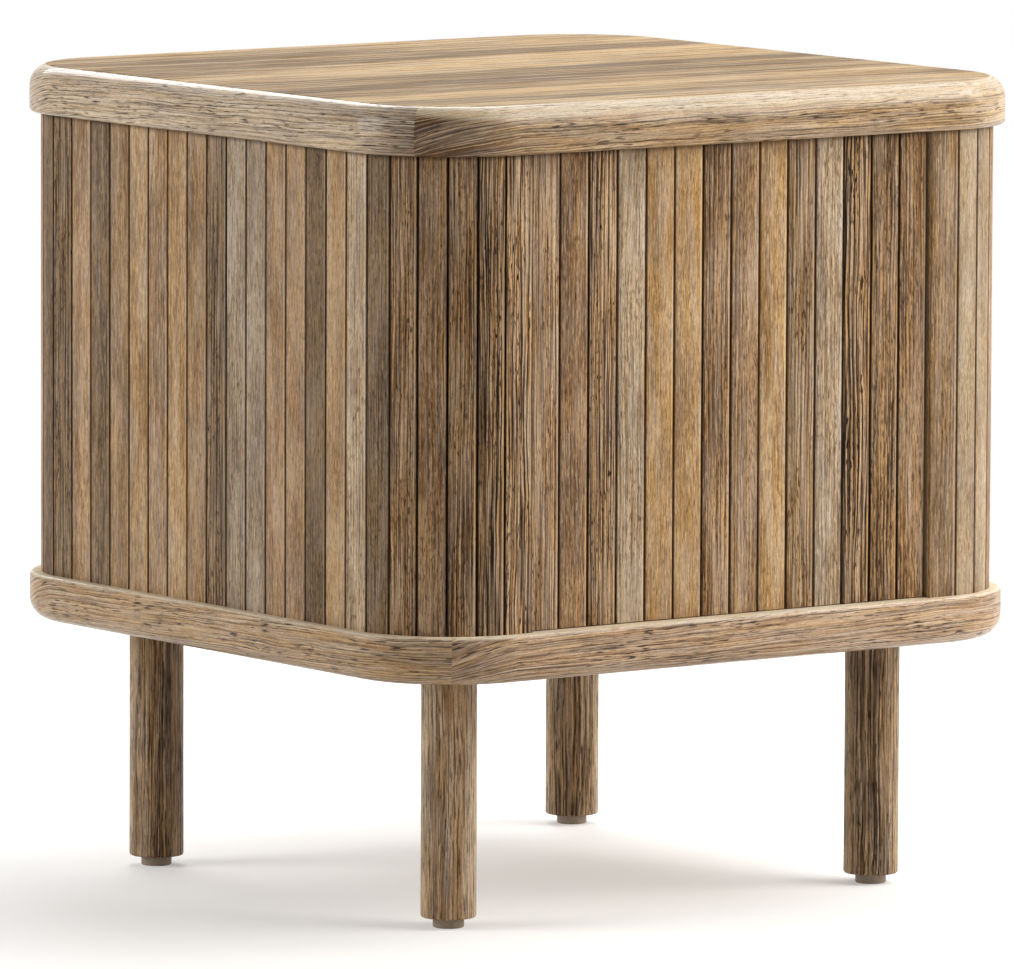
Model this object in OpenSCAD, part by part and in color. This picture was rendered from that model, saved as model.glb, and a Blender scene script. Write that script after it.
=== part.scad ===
// Bedside table with a tambour door: a rounded square cabinet clad all round
// in upright wooden slats, between two rounded panels, on four turned legs.
// The front slats, glued to a canvas, slide left and bend round the corner.
// X runs along the front, -Y is the front, Z is up from the floor.

/* [Panels] */
// Width of the top and base panels
panel_w = 500; // [480:5:560]
// Depth of the top and base panels
panel_d = 490; // [470:5:560]
// Corner radius of the panels, seen from above
panel_r = 76; // [72:1:84]
// Thickness of the top panel
top_t = 31; // [24:1:40]
// Thickness of the base panel
base_t = 31; // [26:1:40]
// Rounding of the outer edge on the show side of a panel
round_edge = 14; // [6:1:16]
// Rounding of the other outer edge of a panel
small_edge = 3; // [1:0.5:5]

/* [Cabinet] */
// Height between the base panel and the top panel
body_h = 301; // [240:1:400]
// Overhang of the panels past the slats
overhang = 7.5; // [5:0.5:12]
// Thickness of the fixed slats
skin_t = 3.5; // [3:0.25:4]
// Depth to which slats and boards sit in the panels' grooves
seat_depth = 5; // [3:0.5:8]
// Thickness of the inner side walls
wall_t = 15; // [12:1:18]
// Distance from the outer face of the side slats to the inner side wall
pocket_w = 42; // [40:1:50]
// Depth of the open space behind the front, where the door turns
pocket_d = 108; // [105:1:125]
// Width of the post that the door closes against
jamb_w = 18; // [14:1:20]
// Depth of that post in front of its flange
jamb_front_d = 10; // [10:1:14]
// Depth of its flange
jamb_flange_d = 12; // [8:1:16]
// Thickness of the boards behind the fixed slats
backing_t = 4; // [3:0.5:4.5]
// Thickness of the back board
back_t = 8; // [6:1:12]

/* [Slats] */
// Gap between two slats
slat_gap = 1; // [0.8:0.1:1.6]
// How far the front row of slats reaches past each end of the straight front
front_lap = 5.2; // [4:0.2:7]
// How far a side row of slats reaches past each end of the straight side
side_lap = 7; // [5:0.5:9]

/* [Door] */
// Thickness of the door slats
door_t = 7; // [6:0.25:7.5]
// Thickness of the canvas behind them
canvas_t = 0.8; // [0.5:0.1:1]
// Gap between the door and the fixed slats that it slides behind
run_gap = 0.8; // [0.6:0.1:1]
// Gap above and below the door slats
end_gap = 0.6; // [0.4:0.1:1]
// Thickness of the tongues that run in the track
tongue_t = 4; // [3:0.25:4.5]
// Clearance on each side of a tongue in its track
track_gap = 0.5; // [0.3:0.1:0.8]
// Clearance between the end of a tongue and the floor of its track
tongue_gap = 0.3; // [0.2:0.1:0.5]
// Height that the canvas stays short of the slats at each end
canvas_margin = 10; // [4:1:20]
// Width of the bar that stiffens the closing edge of the door
lead_bar_w = 18; // [12:1:20]
// Depth of that bar
lead_bar_d = 12; // [8:1:16]

/* [Shelf] */
// Thickness of the shelf
shelf_t = 15; // [12:1:20]
// Height of the shelf's underside above the base panel
shelf_z = 145; // [90:5:145]
// Distance of the shelf's front edge behind that of the left wall
shelf_setback = 12; // [0:1:30]
// Distance of the shelf pins from the shelf's front and back edges
pin_inset = 40; // [20:1:80]
// Clearance round the shelf
shelf_gap = 0.5; // [0.3:0.1:1]
// Diameter of the pins that carry the shelf
pin_d = 5; // [4:0.5:6]
// Length of a shelf pin in its wall
pin_in = 9; // [6:0.5:10]
// Length of a shelf pin under the shelf
pin_out = 9; // [6:0.5:12]

/* [Legs] */
// Distance from the panel's edges to the axis of a leg
leg_inset = 81; // [60:1:90]
// Diameter of a leg
leg_d = 35.5; // [28:0.5:40]
// Length of a leg
leg_l = 157; // [100:1:200]
// Rounding of a leg's lower edge
leg_edge = 1.5; // [0.5:0.5:3]
// Diameter of a glide
glide_d = 20; // [16:1:26]
// Height of a glide under the leg
glide_h = 6.5; // [4:0.5:9]
// Diameter of a glide's stem
stem_d = 6; // [4:0.5:8]
// Length of a glide's stem
stem_l = 16; // [10:1:25]
// Diameter of the bolt that holds a leg
bolt_d = 8; // [6:1:10]
// Length of that bolt in the leg
bolt_in_leg = 28; // [20:1:40]
// Length of that bolt in the base panel
bolt_in_panel = 18; // [12:1:20]

/* [Joinery] */
// Diameter of the dowels that hold the inner walls
dowel_d = 8; // [6:1:8]
// Distance of the dowels from the front and back edges of the left wall
dowel_inset = 30; // [15:1:60]
// Length of a dowel in each of its two pieces
dowel_in = 13; // [8:1:16]
// Clearance of a pin, bolt, stem or dowel in its hole, and past its end
hole_gap = 0.05; // [0.02:0.01:0.1]
// Clearance of a slat or board in its groove
seat_gap = 0.1; // [0.05:0.05:0.2]

/* [Hidden] */
$fn = 96;
eps = 0.01;

// Slats in each row: the nodes below are named one by one
front_count = 16;
side_count = 16;
corner_count = 5;
door_count = front_count - 2;
lead_count = 6;
link_count = 3;
tail_count = door_count - lead_count - link_count;

// Levels
base_z = glide_h + leg_l;
body_z = base_z + base_t;
top_z = body_z + body_h;

// Outer faces of the slats, and the centres of the rounded corners
skin_x = panel_w / 2 - overhang;
skin_y = panel_d / 2 - overhang;
skin_r = panel_r - overhang;
turn_x = panel_w / 2 - panel_r;
turn_y = panel_d / 2 - panel_r;

// Slat pitches
front_pitch = 2 * (turn_x + front_lap) / front_count;
side_pitch = 2 * (turn_y + side_lap) / side_count;
door_x = door_count * front_pitch / 2;

// The door, from its outer face to the line that it bends on
door_face = -skin_y + skin_t + run_gap;
hinge_line = door_face + door_t;
door_z = body_z + end_gap;
door_h = body_h - 2 * end_gap;
tongue_y = door_face + (door_t - tongue_t) / 2;
tongue_l = seat_depth + end_gap - tongue_gap;
track_turn_r = skin_r - skin_t - run_gap - (door_t - tongue_t) / 2 + track_gap;
track_w = tongue_t + 2 * track_gap;

// The inner walls
wall_x = skin_x - pocket_w;
back_face = skin_y - skin_t - seat_gap;
board_back = back_face - backing_t;
board_front = board_back - back_t;
corner_r = skin_r - skin_t - seat_gap;
wall_back = turn_y + sqrt(pow(corner_r, 2) - pow(wall_x - turn_x, 2)) - 1;
jamb_x = door_x + slat_gap;
jamb_back = door_face + jamb_front_d + jamb_flange_d;
left_wall_front = -skin_y + pocket_d;

shelf_under = body_z + shelf_z;
shelf_front = left_wall_front + shelf_setback;
shelf_x = wall_x - wall_t - shelf_gap;

leg_x = panel_w / 2 - leg_inset;
leg_y = panel_d / 2 - leg_inset;

function two_digits(i) = i < 10 ? str("0", i) : str(i);
function door_slat_name(i) = str("tambour_slat_", two_digits(i));

CORNERS = [
    ["front_left", [-1, -1]],
    ["front_right", [1, -1]],
    ["back_left", [-1, 1]],
    ["back_right", [1, 1]]
];

// Wood tones of the slats, as a mixed batch of reclaimed boards
TONES = ["#8f7355", "#6f5a45", "#a5845c", "#8d8172", "#7a6248", "#9c7d58", "#5f4c3a", "#84694c"];
PANEL_WOOD = "#8b6f50";
INNER_WOOD = "#b39a76";
LEG_WOOD = "#6e573f";
function tone(i) = TONES[(i * 5) % len(TONES)];

// ---- Plan shapes ----

module rounded_plan(w, d, r) {
    square([w - 2 * r, d], center = true);
    square([w, d - 2 * r], center = true);
    for (x = [-1, 1], y = [-1, 1])
        translate([x * (w / 2 - r), y * (d / 2 - r)]) circle(r);
}

// The band from one distance inside the slats' outer face to another
module skin_band(from, to) {
    difference() {
        rounded_plan(2 * (skin_x - from), 2 * (skin_y - from), skin_r - from);
        rounded_plan(2 * (skin_x - to), 2 * (skin_y - to), skin_r - to);
    }
}

// One quarter of the band round the corner at +X, +Y, between two angles, less half a gap at each end
module corner_piece(from, to, a0, a1) {
    reach = 2 * skin_r;
    intersection() {
        skin_band(from, to);
        difference() {
            translate([turn_x, turn_y])
                polygon([[0, 0], reach * [cos(a0), sin(a0)], reach * [cos(a1), sin(a1)]]);
            for (a = [a0, a1])
                translate([turn_x, turn_y])
                    rotate(a)
                        translate([0, -slat_gap / 2]) square([reach, slat_gap]);
        }
    }
}

// ---- Panels ----

// Half section of a panel, from its middle line to its edge at reach. A rounding takes half the thickness at most.
module edge_section(reach, t, low_edge, high_edge) {
    low = min(low_edge, t / 2);
    high = min(high_edge, t / 2);
    translate([0, low]) square([reach, t - low - high]);
    square([reach - low, t / 2]);
    translate([0, t / 2]) square([reach - high, t / 2]);
    translate([reach - low, low]) circle(low);
    translate([reach - high, t - high]) circle(high);
}

module panel_bar(length, width, t, low_edge, high_edge) {
    rotate([90, 0, 90])
        linear_extrude(length, center = true) {
            edge_section(width / 2, t, low_edge, high_edge);
            mirror([1, 0]) edge_section(width / 2, t, low_edge, high_edge);
        }
}

module rounded_panel(t, low_edge, high_edge) {
    panel_bar(2 * turn_x, panel_d, t, low_edge, high_edge);
    rotate(90) panel_bar(2 * turn_y, panel_w, t, low_edge, high_edge);
    for (x = [-1, 1], y = [-1, 1])
        translate([x * turn_x, y * turn_y, 0])
            rotate_extrude() edge_section(panel_r, t, low_edge, high_edge);
}

// Track of the door in plan: along the front, round the left corner and down the side
module track_plan() {
    outer = skin_r - track_turn_r;
    inner = outer + track_w;
    intersection() {
        skin_band(outer, inner);
        union() {
            translate([-skin_x, -skin_y]) square([skin_x + door_x, turn_y]);
            translate([-skin_x, -skin_y]) square([skin_r, skin_y + side_pitch]);
        }
    }
}

// Ring groove of the fixed slats, left open along the front between the two stiles
module skin_groove_plan() {
    difference() {
        skin_band(-seat_gap, skin_t + seat_gap);
        square_from(-door_x, -skin_y - 1, door_x, -turn_y);
    }
}

module square_from(x0, y0, x1, y1) {
    translate([x0, y0]) square([x1 - x0, y1 - y0]);
}

module panel_grooves() {
    linear_extrude(seat_depth + 2 * eps) {
        skin_groove_plan();
        track_plan();
    }
}

module wall_dowel_places() {
    for (s = [-1, 1], y = [left_wall_front + dowel_inset, wall_back - dowel_inset])
        translate([s * (wall_x - wall_t / 2), y, 0]) children();
}

module dowel(gap = 0) {
    translate([0, 0, -dowel_in - gap])
        cylinder(h = 2 * (dowel_in + gap), d = dowel_d + 2 * gap);
}

module leg_places() {
    for (c = CORNERS) translate([c[1][0] * leg_x, c[1][1] * leg_y, 0]) children();
}

module top_panel() {
    color(PANEL_WOOD)
        difference() {
            translate([0, 0, top_z]) rounded_panel(top_t, small_edge, round_edge);
            translate([0, 0, top_z - 2 * eps]) panel_grooves();
            translate([0, 0, top_z]) wall_dowel_places() dowel(hole_gap);
        }
}

module base_panel() {
    color(PANEL_WOOD)
        difference() {
            translate([0, 0, base_z]) rounded_panel(base_t, round_edge, small_edge);
            translate([0, 0, body_z - seat_depth]) panel_grooves();
            translate([0, 0, body_z]) wall_dowel_places() dowel(hole_gap);
            translate([0, 0, base_z]) leg_places() leg_bolt(hole_gap);
        }
}

// ---- Carcass ----

// The left wall stops short of the space where the door turns, and the right one meets the jamb
module side_wall(s) {
    x = s < 0 ? -wall_x : wall_x - wall_t;
    front = s < 0 ? left_wall_front : jamb_back;
    color(INNER_WOOD)
        difference() {
            translate([x, front, body_z]) cube([wall_t, wall_back - front, body_h]);
            for (z = [body_z, top_z]) translate([0, 0, z]) wall_dowel_places() dowel(hole_gap);
            shelf_pin_places() shelf_pin(hole_gap);
        }
}

module wall_dowels() {
    color(INNER_WOOD)
        for (z = [body_z, top_z]) translate([0, 0, z]) wall_dowel_places() dowel();
}

module back_board() {
    x = wall_x - wall_t;
    color(INNER_WOOD)
        translate([-x, board_front, body_z]) cube([2 * x, back_t, body_h]);
}

module back_backing() {
    color(INNER_WOOD)
        translate([-turn_x, board_back, body_z]) cube([2 * turn_x, backing_t, body_h]);
}

module side_backing(s) {
    inner = skin_x - skin_t - seat_gap;
    x = s < 0 ? -inner : inner - backing_t;
    color(INNER_WOOD)
        translate([x, -turn_y, body_z]) cube([backing_t, 2 * turn_y, body_h]);
}

// Post behind the right stile, which the closing edge of the door meets, with a flange to the wall
module door_jamb() {
    color(INNER_WOOD)
        translate([jamb_x, door_face, body_z]) {
            cube([jamb_w, jamb_front_d + jamb_flange_d, body_h]);
            translate([0, jamb_front_d, 0]) cube([wall_x - jamb_x, jamb_flange_d, body_h]);
        }
}

module shelf() {
    color(INNER_WOOD)
        translate([-shelf_x, shelf_front, shelf_under])
            cube([2 * shelf_x, board_front - shelf_gap - shelf_front, shelf_t]);
}

module shelf_pin_places() {
    for (s = [-1, 1], y = [shelf_front + pin_inset, board_front - pin_inset])
        translate([s * (wall_x - wall_t), y, shelf_under - pin_d / 2]) rotate([0, s * 90, 0]) children();
}

// Along +Z into the wall, with its free end the other way
module shelf_pin(gap = 0) {
    translate([0, 0, -pin_out])
        cylinder(h = pin_out + pin_in + gap, d = pin_d + 2 * gap);
}

module shelf_pins() {
    color("#b8b4aa") shelf_pin_places() shelf_pin();
}

// ---- Fixed slats ----

module fixed_slat_height() {
    translate([0, 0, body_z - seat_depth + seat_gap])
        linear_extrude(body_h + 2 * (seat_depth - seat_gap)) children();
}

// A row of fixed slats along a straight side, in plan, at +X
module side_row() {
    for (i = [0 : side_count - 1])
        color(tone(i))
            fixed_slat_height()
                intersection() {
                    skin_band(0, skin_t);
                    translate([0, (i - side_count / 2) * side_pitch + slat_gap / 2])
                        square([skin_x, side_pitch - slat_gap]);
                }
}

module left_slats() {
    mirror([1, 0, 0]) side_row();
}

module right_slats() {
    side_row();
}

module back_slats() {
    for (i = [0 : front_count - 1])
        color(tone(i + 3))
            fixed_slat_height()
                intersection() {
                    skin_band(0, skin_t);
                    translate([(i - front_count / 2) * front_pitch + slat_gap / 2, 0])
                        square([front_pitch - slat_gap, skin_y]);
                }
}

// The slats round one corner, with the stile that ends the front row at a front corner
module corner_slats(place) {
    a_side = asin(side_lap / skin_r);
    a_front = 90 - asin(front_lap / skin_r);
    step = (a_front - a_side) / corner_count;
    mirror([place[0] < 0 ? 1 : 0, 0, 0])
        mirror([0, place[1] < 0 ? 1 : 0, 0]) {
            for (i = [0 : corner_count - 1])
                color(tone(i + 1))
                    fixed_slat_height() corner_piece(0, skin_t, a_side + i * step, a_side + (i + 1) * step);
            if (place[1] < 0)
                color(tone(6))
                    fixed_slat_height()
                        intersection() {
                            skin_band(0, skin_t);
                            translate([door_x + slat_gap / 2, 0]) square([front_pitch - slat_gap, skin_y]);
                        }
        }
}

// ---- Door ----

// A door slat, counted from the left; those of the lead group have tongues in the track
module tambour_slat(i) {
    x = -door_x + (i - 1) * front_pitch + slat_gap / 2;
    w = front_pitch - slat_gap;
    has_tongues = i > link_count + tail_count;
    color(tone(i + 2)) {
        translate([x, door_face, door_z]) cube([w, door_t, door_h]);
        if (has_tongues)
            translate([x, tongue_y, door_z - tongue_l]) cube([w, tongue_t, door_h + 2 * tongue_l]);
    }
}

// Canvas behind count slats, after skipping some from the left
module canvas(skip, count) {
    x = -door_x + skip * front_pitch + slat_gap / 2;
    color("#cdbfa3")
        translate([x, hinge_line, door_z + canvas_margin])
            cube([count * front_pitch - slat_gap, canvas_t, door_h - 2 * canvas_margin]);
}

module lead_bar() {
    color(INNER_WOOD)
        translate([door_x - slat_gap / 2 - lead_bar_w, hinge_line + canvas_t, door_z + canvas_margin])
            cube([lead_bar_w, lead_bar_d, door_h - 2 * canvas_margin]);
}

// ---- Legs ----

module leg_bolt(gap = 0) {
    translate([0, 0, -bolt_in_leg - gap])
        cylinder(h = bolt_in_leg + bolt_in_panel + 2 * gap, d = bolt_d + 2 * gap);
}

module leg(place) {
    color(LEG_WOOD)
        translate([place[0] * leg_x, place[1] * leg_y, glide_h])
            difference() {
                rotate_extrude() {
                    translate([0, leg_edge]) square([leg_d / 2, leg_l - leg_edge]);
                    square([leg_d / 2 - leg_edge, leg_l]);
                    translate([leg_d / 2 - leg_edge, leg_edge]) circle(leg_edge);
                }
                translate([0, 0, leg_l]) leg_bolt(hole_gap);
                translate([0, 0, -1]) cylinder(h = stem_l + 1 + hole_gap, d = stem_d + 2 * hole_gap);
            }
}

module glide(place) {
    chamfer = 1;
    color("#8a7763")
        translate([place[0] * leg_x, place[1] * leg_y, 0])
            rotate_extrude()
                polygon([
                    [0, 0],
                    [glide_d / 2 - chamfer, 0],
                    [glide_d / 2, chamfer],
                    [glide_d / 2, glide_h],
                    [stem_d / 2, glide_h],
                    [stem_d / 2, glide_h + stem_l],
                    [0, glide_h + stem_l]
                ]);
}

module leg_bolts() {
    color("#8f9194") translate([0, 0, base_z]) leg_places() leg_bolt();
}

// ---- Assembly ----

top_panel();
base_panel();
side_wall(-1);  // left_wall
side_wall(1);  // right_wall
back_board();
side_backing(-1);  // left_backing
side_backing(1);  // right_backing
back_backing();
door_jamb();
shelf();
shelf_pins();
wall_dowels();
left_slats();
right_slats();
back_slats();
for (c = CORNERS) corner_slats(c[1]);
for (i = [1 : door_count]) tambour_slat(i);
canvas(0, tail_count);  // canvas_tail
canvas(tail_count, 1);  // canvas_link_3
canvas(tail_count + 1, 1);  // canvas_link_2
canvas(tail_count + 2, 1);  // canvas_link_1
canvas(tail_count + link_count, lead_count);  // canvas_lead
lead_bar();
for (c = CORNERS) leg(c[1]);
for (c = CORNERS) glide(c[1]);
leg_bolts();
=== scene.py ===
"""Look of the bedside table with tambour door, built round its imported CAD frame.

Lengths are in metres, in the CAD frame: X runs along the front, -Y is the front and Z is up from the floor.
"""

import logging
import math
from dataclasses import dataclass, replace
from enum import Enum
from typing import Any, Callable, Iterable, Optional

import bmesh
import bpy
from mathutils import Matrix, Vector


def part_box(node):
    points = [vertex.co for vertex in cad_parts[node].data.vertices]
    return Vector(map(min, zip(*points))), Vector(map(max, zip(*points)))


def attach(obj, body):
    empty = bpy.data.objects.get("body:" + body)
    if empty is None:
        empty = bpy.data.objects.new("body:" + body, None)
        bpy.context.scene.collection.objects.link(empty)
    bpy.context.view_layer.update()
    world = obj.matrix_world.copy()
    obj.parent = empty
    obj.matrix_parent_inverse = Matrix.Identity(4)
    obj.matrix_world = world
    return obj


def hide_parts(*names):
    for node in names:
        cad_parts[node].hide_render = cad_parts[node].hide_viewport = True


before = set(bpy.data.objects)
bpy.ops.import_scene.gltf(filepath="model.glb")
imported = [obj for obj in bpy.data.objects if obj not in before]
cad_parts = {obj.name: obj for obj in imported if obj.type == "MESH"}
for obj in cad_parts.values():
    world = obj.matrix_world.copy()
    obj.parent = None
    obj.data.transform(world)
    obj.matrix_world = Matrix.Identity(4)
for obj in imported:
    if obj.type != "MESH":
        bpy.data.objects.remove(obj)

log = logging.getLogger("bedside_table")

MM = 0.001
# Tolerances: of places in a mesh, of sums, and of vertices that merge
TINY = 1e-6
HAIR = 1e-9
MERGE = 1e-7
Colour = tuple[float, float, float, float]
Pair = tuple[float, float]
Triple = tuple[float, float, float]
BMesh = bmesh.types.BMesh
# Attributes of a board's faces. Three have more in their alpha, in units that keep it near 1
TONE, VEIN, SHINE, GRAIN = "tone", "vein", "shine", "grain"
HALF_WIDTH_UNIT, PITCH_UNIT, WAVER_UNIT = 10.0, 10.0, 20.0
# How far down a slat is painted darker under the top panel, as painted shade, and how much
HEAD_DEPTH = 0.0035
HEAD_SHADE = 0.85
SHARP_FROM = math.radians(32)
UP = (0, 0, 1)


def linear(hex_colour: str) -> Colour:
    """Turns an sRGB hex value into a linear colour.

    Args:
        hex_colour: colour as "#rrggbb".

    Returns:
        Red, green, blue and alpha.
    """
    parts = [int(hex_colour[i : i + 2], 16) / 255 for i in (1, 3, 5)]
    red, green, blue = [c / 12.92 if c <= 0.04045 else ((c + 0.055) / 1.055) ** 2.4 for c in parts]
    return red, green, blue, 1.0


def rgb(hex_colour: str) -> Vector:
    """Linear red, green and blue of an sRGB hex value."""
    return Vector(linear(hex_colour)[:3])


class Nodes:
    """Node tree of a new material or world, with short names for the nodes that it needs most."""

    def __init__(self, owner: Any) -> None:
        """Empties the owner's tree."""
        owner.use_nodes = True
        self.owner = owner
        self.tree = owner.node_tree
        self.tree.nodes.clear()

    def add(self, kind: str, links: Optional[dict[Any, Any]] = None, **settings: Any) -> bpy.types.Node:
        """Adds a shader node with its settings and links.

        Args:
            kind: node type, without its ShaderNode prefix.
            links: for each input, by name or number, the socket it reads or its value.
            settings: properties of the node.

        Returns:
            The new node.
        """
        node = self.tree.nodes.new("ShaderNode" + kind)
        for name, value in settings.items():
            setattr(node, name, value)
        for name, source in (links or {}).items():
            if isinstance(source, bpy.types.NodeSocket):
                self.tree.links.new(source, node.inputs[name])
            else:
                node.inputs[name].default_value = source
        return node

    def out(self, kind: str, links: Optional[dict[Any, Any]] = None, **settings: Any) -> Any:
        """Adds a node and gives its first output."""
        return self.add(kind, links, **settings).outputs[0]

    def calc(self, operation: str, *values: Any) -> Any:
        """One sum on numbers."""
        return self.out("Math", dict(enumerate(values)), operation=operation)

    def mix(self, factor: Any, first: Any, second: Any, blend: str = "MIX") -> Any:
        """Two colours by a factor. The node has its colours at these numbers."""
        links = {0: factor, 6: first, 7: second}
        return self.add("Mix", links, data_type="RGBA", blend_type=blend).outputs[2]

    def noise(self, vector: Any, detail: float, rough: float = 0.5, scale: float = 1.0) -> Any:
        """Plain noise."""
        return self.out("TexNoise", {"Vector": vector, "Scale": scale, "Detail": detail, "Roughness": rough})

    def ease(self, value: Any, low: float, high: float) -> Any:
        """0 at low, 1 at high, and smooth between them."""
        links = {"Value": value, "From Min": low, "From Max": high}
        return self.out("MapRange", links, interpolation_type="SMOOTHSTEP")

    def scaled(self, vector: Any, scale: float) -> Any:
        """A vector times a number."""
        return self.out("VectorMath", {0: vector, "Scale": scale}, operation="SCALE")

    def bump(self, height: Any, distance: float, strength: float = 1.0) -> Any:
        """Surface normal of a height, which stands for a distance in millimetres."""
        return self.out("Bump", {"Strength": strength, "Distance": distance * MM, "Height": height})

    def place(self) -> Any:
        """Place on the object, in metres."""
        return self.add("TexCoord").outputs["Object"]

    def seen(self) -> Any:
        """1 for the rays that the camera sees directly, in a gloss or through a pane."""
        path = self.add("LightPath").outputs
        either = self.calc("MAXIMUM", path["Is Camera Ray"], path["Is Glossy Ray"])
        return self.calc("MAXIMUM", either, path["Is Transmission Ray"])

    def end(self, shader: Any, kind: str = "OutputMaterial") -> Any:
        """Ends the tree with its shader, and gives its owner back."""
        self.add(kind, {"Surface": shader})
        return self.owner


# ---- Finishes ----


@dataclass(frozen=True)
class BoardColours:
    """Colours of one board: its ground, its dark lines and its light lines, as sRGB hex."""

    ground: str
    vein: str
    shine: str


class Tone(Enum):
    """Tones of the mixed batch of boards."""

    HONEY = BoardColours("#a98c6b", "#674e38", "#d4b892")
    AMBER = BoardColours("#b2916b", "#614832", "#dec196")
    TAN = BoardColours("#a2866a", "#5c4633", "#d1b492")
    TAUPE = BoardColours("#987d60", "#55412f", "#c4a987")
    GREY = BoardColours("#9c8a75", "#534535", "#c9b7a2")
    PALE = BoardColours("#b29b80", "#604d3c", "#dbc8ac")
    SMOKE = BoardColours("#78634d", "#32251b", "#aa9175")
    WALNUT = BoardColours("#8b6d52", "#2c1c13", "#d2b28c")
    UMBER = BoardColours("#705842", "#1c110b", "#caa780")
    CREAM = BoardColours("#a8947a", "#6b5743", "#ccb99f")
    PANEL = BoardColours("#b0926f", "#36251a", "#d6bb97")
    SIDE = BoardColours("#bea88d", "#36271a", "#decdb4")
    BASE = BoardColours("#bd9d7e", "#3f2d20", "#dcc3a2")
    TOP = BoardColours("#998366", "#665341", "#c0a783")
    # Dark stain in the wood, with painted shade, at the panels' near corner
    STAIN_AND_SHADE = BoardColours("#5e3c20", "#180b04", "#a98560")
    # Pale cream: the painted highlights and painted light, and the paler far end of the lippings
    PALE_CREAM = BoardColours("#d0c1a8", "#ac997f", "#e2d5bd")
    LEG = BoardColours("#6e563f", "#20150e", "#c4a685")
    LEG_LIT_SIDE = BoardColours("#cbb598", "#6b5642", "#cdb899")


@dataclass(frozen=True)
class Board:
    """How one board looks.

    vein is the strength of its growth rings, from 0 to 1, pitch their spacing in millimetres,
    and waver how far they wander sideways, in millimetres.
    """

    tone: Tone
    vein: float = 0.5
    pitch: float = 3.2
    waver: float = 4.0

    def layers(self, seed: float, width: float = 2.0) -> dict[str, Colour]:
        """Attribute values of the board.

        Args:
            seed: number from 0 to 1 that sets its grain apart from the others'.
            width: its width in metres, along whose long edges shade is painted.

        Returns:
            Colour of each attribute.
        """
        colours = self.tone.value
        return {
            TONE: (*linear(colours.ground)[:3], width * (500 / HALF_WIDTH_UNIT)),
            VEIN: linear(colours.vein),
            SHINE: linear(colours.shine),
            GRAIN: (self.vein, self.pitch / PITCH_UNIT, seed, self.waver / WAVER_UNIT),
        }


class Follow(Enum):
    """What a wood grain follows."""

    SURFACE = "the piece's UV map: across the grain, then along it, in metres"
    BLANK = "the turned blank, with its grain along Z"
    BOARD_X = "a board with its grain along X"
    BOARD_Z = "a board with its grain along Z"


# Which axes run across, into and along each grain
AXES = {
    Follow.SURFACE: (0, 2, 1),
    Follow.BLANK: (0, 1, 2),
    Follow.BOARD_X: (1, 2, 0),
    Follow.BOARD_Z: (0, 1, 2),
}


@dataclass(frozen=True)
class Mark:
    """Marks in patches: their size in millimetres, and the levels of noise between which they come in."""

    width: float
    length: float
    detail: float
    low: float
    high: float


RING_PATCHES = Mark(7.0, 55.0, 2.0, 0.3, 0.6)
PORE_CROWDS = Mark(9.0, 60.0, 1.0, 0.35, 0.62)
ARRIS_HIGHLIGHT_PATCHES = Mark(12.0, 130.0, 1.0, 0.4, 0.6)
BROWN_STREAKS = Mark(4.5, 60.0, 2.0, 0.36, 0.64)
# Levels of noise between which these come in
PORE: Pair = (0.55, 0.65)
DARK_FIBRE, LIGHT_FIBRE = (0.48, 0.41), (0.53, 0.6)
DARK_MOTTLE, LIGHT_MOTTLE = (0.52, 0.36), (0.48, 0.64)
# Shares of a ring in which its dark line ends and its light line starts
DARK_LINE, LIGHT_LINE = (0.12, 0.4), (0.6, 0.88)
# Millimetres from a board's edge, inwards below 0, over which its painted edge shade and its painted arris
# highlight come in
EDGE_SHADE_RAMP: Pair = (-1.1, 0.2)
ARRIS_IN, ARRIS_OUT = (-2.0, -1.4), (-0.5, -1.0)
EDGE_SHARE = 0.75
# Gain and base: what noise does to the depth of rings, the crowding of pores, the saturation and the value
RING_DEPTH, PORE_CROWDING, SATURATION, VALUE = (0.7, 0.3), (0.8, 0.2), (0.26, 0.9), (0.5, 0.75)
# Width and length of the close bends and the grit in millimetres, and how far the close bends reach
CLOSE_BEND, GRIT = (5.0, 24.0), (0.7, 2.4)
CLOSE_WAVER = 1.3
RING_TILT = 0.35
LONG_FIBRE = 7
FIBRE_RISE, PORE_DEPTH, RING_GROOVE = 0.35, 0.8, 0.5
PORE_ROUGHNESS = 0.2
PORE_TINT, EDGE_SHADE_TINT = (0.7, 0.5, 0.38, 1.0), (0.8, 0.56, 0.42, 1.0)
SEED_STEP = 97.0
BLANK_TURN = math.radians(28)
GRIT_LEVELS = (0.35, 0.65)
INNER_SEED = 0.37
NO_EDGE = 1000.0


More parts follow.
